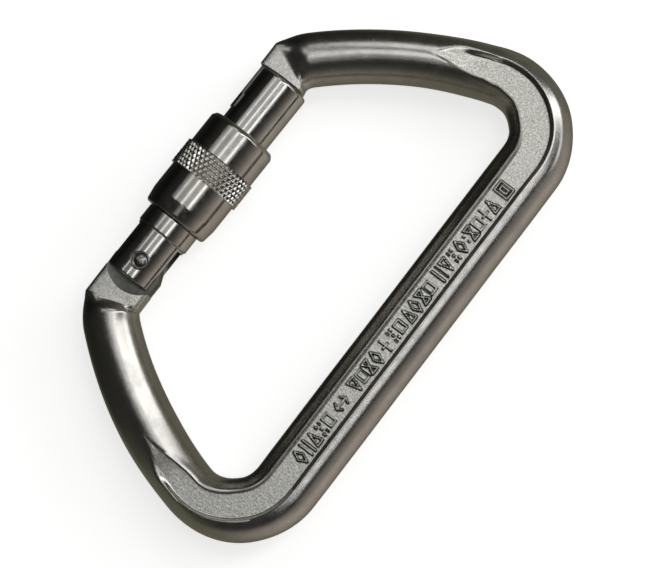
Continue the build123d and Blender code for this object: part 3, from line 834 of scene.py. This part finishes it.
def knurled(radius, height, angle):
    """The sleeve's radius with crossed diagonal grooves cut in the knurled band."""
    if radius < KNURL_R or not KNURL_LOW < height < KNURL_TOP:
        return radius
    u = KNURL_COUNT * angle / (2 * math.pi)
    v = (height - KNURL_LOW) / KNURL_PITCH
    depth = 0.0
    for phase in (u + v, u - v):
        off = abs((phase % 1.0) - 0.5) * 2
        depth = max(depth, max(0.0, off - KNURL_FLAT) / (1 - KNURL_FLAT))
    edge = min(1.0, (height - KNURL_LOW) / KNURL_EDGE, (KNURL_TOP - height) / KNURL_EDGE)
    return KNURL_R - KNURL_DEPTH * depth * edge


def make_sleeve():
    """The screw sleeve: tapered foot, knurled band and chamfered top, with thread land and ring groove."""
    rows = KNURL_ROWS * 2 * KNURL_STEPS
    band = [(KNURL_R, KNURL_LOW + (KNURL_TOP - KNURL_LOW) * k / rows) for k in range(rows + 1)]
    low = soften([
        (SLEEVE_THREAD_R, SLEEVE_LOW),
        (SLEEVE_R - SLEEVE_LIP_INSET, SLEEVE_LOW),
        (SLEEVE_R - SLEEVE_TAPER_INSET, SLEEVE_LOW + SLEEVE_LIP_HEIGHT),
        (SLEEVE_R, SLEEVE_LOW + SLEEVE_TAPER_HEIGHT),
        (SLEEVE_R, KNURL_LOW - KNURL_SHOULDER),
        (SLEEVE_R, KNURL_LOW),
    ], SLEEVE_LOW_SOFTNESS)[CORNER_POINTS:-CORNER_POINTS]
    top = soften([
        (SLEEVE_R, KNURL_TOP),
        (SLEEVE_R, KNURL_TOP + KNURL_SHOULDER),
        (SLEEVE_R, SLEEVE_TOP - SLEEVE_TOP_DROP),
        (SLEEVE_R - SLEEVE_TOP_INSET, SLEEVE_TOP),
        (SLEEVE_BORE_R, SLEEVE_TOP),
        (SLEEVE_BORE_R, SLEEVE_THREAD_TOP),
        (SLEEVE_THREAD_R, SLEEVE_THREAD_TOP),
        (SLEEVE_THREAD_R, GROOVE_TOP),
        (GROOVE_R, GROOVE_TOP),
        (GROOVE_R, GROOVE_LOW),
        (SLEEVE_THREAD_R, GROOVE_LOW),
        (SLEEVE_THREAD_R, SLEEVE_LOW),
    ], SLEEVE_TOP_SOFTNESS)[CORNER_POINTS:-CORNER_POINTS]
    profile = [
        *low,
        (SLEEVE_R, KNURL_LOW),
        *band,
        (SLEEVE_R, KNURL_TOP),
        *top,
        (SLEEVE_THREAD_R, SLEEVE_LOW + SLEEVE_THREAD_LEAD),
    ]
    return turned("locking_sleeve_skin", profile, gate_point, KNURL_COUNT * KNURL_STEPS, knurled)


# ---------------------------------------------------------------- materials

# The span in which a noise texture's values mostly lie
NOISE_SPAN = (0.3, 0.7)
# Speckle of a clouded surface and of a blasted one, and the grain's bump at a depth of one
CLOUD_SCALE, BLASTED_SCALE = 160.0, 2000.0
GRAIN_STRENGTH, GRAIN_DEPTH = 0.5, 0.12
# The body's finishes by material slot: colours, span of roughness, grain depth and scale of the speckle. The
# last slot is no finish but painted shade, dark colours put where shade falls
FORGED_FINISHES_AND_SHADE = [
    ("satin", (0.53, 0.52, 0.49), (0.62, 0.60, 0.57), (0.21, 0.28), 0.3, CLOUD_SCALE),
    ("blasted", (0.50, 0.50, 0.45), (1.0, 0.99, 0.93), (0.28, 0.40), 1.4, BLASTED_SCALE),
    ("milled", (0.58, 0.58, 0.53), (0.94, 0.93, 0.88), (0.26, 0.36), 1.2, BLASTED_SCALE),
    # Painted shade: dark colours for the marks' stroke sides, the outer web wall and the recessed tongue and
    # tang
    ("painted_shade", (0.10, 0.10, 0.09), (0.20, 0.20, 0.18), (0.30, 0.40), 0.3, CLOUD_SCALE),
]
# Lathe lines are close together along the gate and long round it
LATHE_LINE_SCALE = (60.0, 2600.0, 60.0)


def new_material(name):
    material = bpy.data.materials.new(name)
    material.use_nodes = True
    nodes = material.node_tree.nodes
    nodes.clear()
    output = nodes.new("ShaderNodeOutputMaterial")
    shader = nodes.new("ShaderNodeBsdfPrincipled")
    material.node_tree.links.new(shader.outputs["BSDF"], output.inputs["Surface"])
    shader.inputs["Metallic"].default_value = 1.0
    return material, material.node_tree, shader


def mapped_noise(tree, coordinates, scale, detail=4.0, roughness=0.55):
    texture = tree.nodes.new("ShaderNodeTexNoise")
    texture.inputs["Scale"].default_value = scale
    texture.inputs["Detail"].default_value = detail
    texture.inputs["Roughness"].default_value = roughness
    tree.links.new(coordinates, texture.inputs["Vector"])
    return texture.outputs["Fac"]


def ramp(tree, source, stops):
    node = tree.nodes.new("ShaderNodeValToRGB")
    elements = node.color_ramp.elements
    elements[0].position, elements[0].color = stops[0][0], (*stops[0][1], 1)
    elements[1].position, elements[1].color = stops[-1][0], (*stops[-1][1], 1)
    for position, colour in stops[1:-1]:
        element = elements.new(position)
        element.color = (*colour, 1)
    tree.links.new(source, node.inputs["Fac"])
    return node.outputs["Color"]


def map_range(tree, source, low, high, to_low, to_high):
    node = tree.nodes.new("ShaderNodeMapRange")
    node.inputs["From Min"].default_value = low
    node.inputs["From Max"].default_value = high
    node.inputs["To Min"].default_value = to_low
    node.inputs["To Max"].default_value = to_high
    tree.links.new(source, node.inputs["Value"])
    return node.outputs["Result"]


def bump(tree, shader, heights):
    """Chains bump nodes, each of a height source, a strength and a depth in millimetres."""
    normal = None
    for source, strength, depth in heights:
        node = tree.nodes.new("ShaderNodeBump")
        node.inputs["Strength"].default_value = strength
        node.inputs["Distance"].default_value = depth * MM
        tree.links.new(source, node.inputs["Height"])
        if normal is not None:
            tree.links.new(normal, node.inputs["Normal"])
        normal = node.outputs["Normal"]
    tree.links.new(normal, shader.inputs["Normal"])


def object_coordinates(tree):
    return tree.nodes.new("ShaderNodeTexCoord").outputs["Object"]


def forged_steel(name, dark, light, roughness, grain, speckle_scale):
    """Plated forging: clouded or speckled, with a shot-blasted grain of this depth."""
    material, tree, shader = new_material(name)
    where = object_coordinates(tree)
    speckle = mapped_noise(tree, where, scale=speckle_scale, roughness=0.7)
    colour = ramp(tree, speckle, [(0.36, dark), (0.64, light)])
    tree.links.new(colour, shader.inputs["Base Color"])
    clouds = mapped_noise(tree, where, scale=420.0, detail=6.0)
    tree.links.new(map_range(tree, clouds, *NOISE_SPAN, *roughness), shader.inputs["Roughness"])
    coarse = mapped_noise(tree, where, scale=1700.0, roughness=0.75)
    fine = mapped_noise(tree, where, scale=4200.0, detail=3.0)
    broad = mapped_noise(tree, where, scale=500.0, detail=3.0)
    coarse_bump = (coarse, min(1.0, GRAIN_STRENGTH * grain), GRAIN_DEPTH * grain)
    bump(tree, shader, [(broad, 0.1, 0.02), coarse_bump, (fine, 0.5, 0.03)])
    return material


def turned_steel(name, dark, light, low_roughness, high_roughness):
    """Turned and polished steel, with faint lathe lines round the gate's axis."""
    material, tree, shader = new_material(name)
    where = object_coordinates(tree)
    mapping = tree.nodes.new("ShaderNodeMapping")
    mapping.inputs["Rotation"].default_value = (0, 0, math.atan2(GATE_AXIS.x, GATE_AXIS.y))
    mapping.inputs["Scale"].default_value = LATHE_LINE_SCALE
    tree.links.new(where, mapping.inputs["Vector"])
    lines = mapped_noise(tree, mapping.outputs["Vector"], scale=1.0, detail=2.0)
    noise_low, noise_high = NOISE_SPAN
    colour = ramp(tree, mapped_noise(tree, where, scale=260.0), [(noise_low, dark), (noise_high, light)])
    tree.links.new(colour, shader.inputs["Base Color"])
    handled = mapped_noise(tree, where, scale=600.0, detail=5.0)
    rough = map_range(tree, handled, noise_low, noise_high, low_roughness, high_roughness)
    tree.links.new(rough, shader.inputs["Roughness"])
    pits = mapped_noise(tree, where, scale=3000.0, detail=2.0)
    bump(tree, shader, [(lines, 0.12, 0.02), (pits, 0.12, 0.01)])
    return material


def floor_material():
    material, tree, shader = new_material("pale_floor")
    shader.inputs["Metallic"].default_value = 0.0
    shader.inputs["Roughness"].default_value = 0.9
    shader.inputs["Emission Color"].default_value = (1.0, 1.0, 1.0, 1.0)
    shader.inputs["Emission Strength"].default_value = 0.72
    tone = mapped_noise(tree, object_coordinates(tree), scale=30.0)
    colour = ramp(tree, tone, [(0.3, (0.90, 0.90, 0.90)), (0.7, (0.93, 0.93, 0.93))])
    tree.links.new(colour, shader.inputs["Base Color"])
    return material


# ---------------------------------------------------------------- stage

CAMERA_DISTANCE, CAMERA_LENS = 690.0, 162.0
CAMERA_TARGET = Vector((8.6, -3.4, 0.0))
CAMERA_TILT_X, CAMERA_TILT_Y = 6.5, -4.0
CAMERA_ROLL = 37.03
# In metres
FLOOR_HALF_SIZE, FLOOR_GAP = 3.0, 0.0001
LIGHT_DISTANCE = 1.6

# Soft boxes: the lean from straight up towards +X and +Y, the long side's way in plan, the angles that the
# long and short sides fill, and the radiance
SOFT_BOXES = {
    "long_window": ((13.5, 37.5), (0.45, 0.89), 58, 14, 2.5),
    "far_window": ((-20, 39), (0.45, 0.89), 24, 20, 1.15),
    "corner_window": ((44, 40), (0.7, -0.7), 34, 16, 1.1),
    "gate_lamp": ((18, 5), (0.1, 1.0), 20, 7, 1.7),
    "middle_lamp": ((-7, 5), (0.1, 1.0), 20, 6, 1.3),
    "side_lamp": ((-32, 5), (0.1, 1.0), 20, 7, 0.7),
    "side_glow": ((-9, 9), (0.1, 1.0), 16, 72, 0.48),
    "low_lamp": ((-1, -10), (1.0, 0.0), 12, 8, 0.5),
}

# The room's lower half, from the -X side to the +X side, its faint top, and the wall past the floor's edge
WORLD_SIDES = [
    (0.00, (0.006, 0.006, 0.006)),
    (0.24, (0.03, 0.03, 0.025)),
    (0.33, (0.15, 0.148, 0.108)),
    (0.66, (0.16, 0.155, 0.118)),
    (0.80, (0.27, 0.245, 0.21)),
    (1.00, (0.47, 0.42, 0.38)),
]
WORLD_FAINT = (0.022, 0.022, 0.021)
WORLD_WALL = (0.80, 0.80, 0.79)
# The height, as a sine, from which the faint top fades into the lower half, and how slowly it does
WORLD_FADE_TOP, WORLD_FADE_LOW, WORLD_FADE_POWER = 0.9, 0.05, 1.6


def make_camera():
    data = bpy.data.cameras.new("camera")
    data.lens = CAMERA_LENS
    camera = bpy.data.objects.new("camera", data)
    bpy.context.scene.collection.objects.link(camera)
    tilt_x, tilt_y = math.radians(CAMERA_TILT_X), math.radians(CAMERA_TILT_Y)
    back = Vector((math.tan(tilt_x), math.tan(tilt_y), 1)).normalized()
    right = Vector((math.cos(math.radians(CAMERA_ROLL)), math.sin(math.radians(CAMERA_ROLL)), 0))
    right = (right - right.dot(back) * back).normalized()
    up = back.cross(right)
    rotation = Matrix((right, up, back)).transposed().to_4x4()
    camera.matrix_world = Matrix.Translation((CAMERA_TARGET + CAMERA_DISTANCE * back) * MM) @ rotation
    bpy.context.scene.camera = camera


def make_floor():
    low, _ = CAD_BOX
    z = low[2] - FLOOR_GAP
    half = FLOOR_HALF_SIZE
    corners = [(-half, -half, z), (half, -half, z), (half, half, z), (-half, half, z)]
    mesh = bpy.data.meshes.new("floor")
    mesh.from_pydata(corners, [], [(0, 1, 2, 3)])
    floor = bpy.data.objects.new("floor", mesh)
    bpy.context.scene.collection.objects.link(floor)
    mesh.materials.append(floor_material())
    floor.visible_glossy = False
    floor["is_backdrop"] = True


def from_zenith(towards_x, towards_y):
    """The direction that leans from straight up by these degrees towards +X and +Y."""
    lean = math.hypot(towards_x, towards_y)
    outward, upward = math.sin(math.radians(lean)), math.cos(math.radians(lean))
    return Vector((towards_x / lean * outward, towards_y / lean * outward, upward))


def soft_box(name, centre, along, long_angle, wide_angle, radiance):
    """A rectangular light aimed at the object. Its sides are given as the angles that they fill, and its
    long side runs the way of `along` in plan."""
    length = 2 * LIGHT_DISTANCE * math.tan(math.radians(long_angle / 2))
    width = 2 * LIGHT_DISTANCE * math.tan(math.radians(wide_angle / 2))
    data = bpy.data.lights.new(name, "AREA")
    data.shape = "RECTANGLE"
    data.size, data.size_y = length, width
    data.energy = radiance * math.pi * length * width
    light = bpy.data.objects.new(name, data)
    bpy.context.scene.collection.objects.link(light)
    back = from_zenith(*centre)
    side = Vector((*along, 0.0))
    side = (side - side.dot(back) * back).normalized()
    rotation = Matrix((side, back.cross(side), back)).transposed().to_4x4()
    light.matrix_world = Matrix.Translation(back * LIGHT_DISTANCE) @ rotation
    light.visible_camera = False


def make_world():
    """A dark room whose lower half is brighter towards +X, so that the steel has something to reflect. Seen
    directly, past the floor's edge, it is a plain pale wall."""
    world = bpy.data.worlds.new("studio")
    world.use_nodes = True
    tree = world.node_tree
    background = tree.nodes["Background"]
    split = tree.nodes.new("ShaderNodeSeparateXYZ")
    tree.links.new(tree.nodes.new("ShaderNodeTexCoord").outputs["Generated"], split.inputs["Vector"])
    side = map_range(tree, split.outputs["X"], -1.0, 1.0, 0.0, 1.0)
    colour = ramp(tree, side, WORLD_SIDES)
    low = map_range(tree, split.outputs["Z"], WORLD_FADE_TOP, WORLD_FADE_LOW, 0.0, 1.0)
    low_eased = tree.nodes.new("ShaderNodeMath")
    low_eased.operation = "POWER"
    low_eased.inputs[1].default_value = WORLD_FADE_POWER
    tree.links.new(low, low_eased.inputs[0])
    mix = tree.nodes.new("ShaderNodeMix")
    mix.data_type = "RGBA"
    mix.inputs["A"].default_value = (*WORLD_FAINT, 1)
    tree.links.new(low_eased.outputs["Value"], mix.inputs["Factor"])
    tree.links.new(colour, mix.inputs["B"])
    tree.links.new(mix.outputs["Result"], background.inputs["Color"])
    wall = tree.nodes.new("ShaderNodeBackground")
    wall.inputs["Color"].default_value = (*WORLD_WALL, 1)
    seen = tree.nodes.new("ShaderNodeMixShader")
    tree.links.new(tree.nodes.new("ShaderNodeLightPath").outputs["Is Camera Ray"], seen.inputs["Fac"])
    tree.links.new(background.outputs["Background"], seen.inputs[1])
    tree.links.new(wall.outputs["Background"], seen.inputs[2])
    tree.links.new(seen.outputs["Shader"], tree.nodes["World Output"].inputs["Surface"])
    bpy.context.scene.world = world


def make_lights():
    for name, values in SOFT_BOXES.items():
        soft_box(name, *values)
    make_world()
    bpy.context.scene.view_settings.view_transform = "Standard"


# ---------------------------------------------------------------- assembly

def place(piece, body, node, slot_name, material=None):
    if material:
        piece.data.materials.clear()
        piece.data.materials.append(material)
    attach(piece, body)
    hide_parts(node)


def main():
    finishes_and_shade = [forged_steel(f"forged_steel_{name}", *values) for name, *values in FORGED_FINISHES_AND_SHADE]
    barrel_steel = turned_steel("turned_steel_polished", (0.52, 0.51, 0.48), (0.64, 0.63, 0.60), 0.10, 0.20)
    sleeve_steel = turned_steel("sleeve_steel_polished", (0.52, 0.51, 0.47), (0.64, 0.62, 0.58), 0.12, 0.22)
    rivet_steel = turned_steel("rivet_steel_polished", (0.26, 0.25, 0.24), (0.34, 0.33, 0.31), 0.24, 0.27)
    spring_steel = turned_steel("spring_steel_drawn", (0.36, 0.36, 0.37), (0.46, 0.46, 0.47), 0.25, 0.38)

    place(make_body(finishes_and_shade), "frame", "forged_body", "forged_steel")
    place(make_barrel(), "gate", "gate_barrel", "turned_steel", barrel_steel)
    place(make_rivet(), "gate", "hinge_rivet", "rivet_steel", rivet_steel)
    place(make_collar(), "gate", "sleeve_stop_collar", "sleeve_steel", sleeve_steel)
    place(make_sleeve(), "sleeve", "locking_sleeve", "sleeve_steel", sleeve_steel)
    spring = make_spring()
    place(spring, "gate", "return_spring", "spring_steel", spring_steel)
    anchor = gate_point(0, BORE_END, 0) * MM
    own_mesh(spring)
    for node, material in (("spring_plunger", barrel_steel), ("sleeve_retaining_ring", spring_steel)):
        for slot_of in frame["nodes"][node].material_slots:
            slot_of.material = material

    make_floor()
    make_lights()
    make_camera()


main()
boxes = {"cad": CAD_BOX, "visual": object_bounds()}
{name: [list(corner) for corner in box] for name, box in boxes.items()}
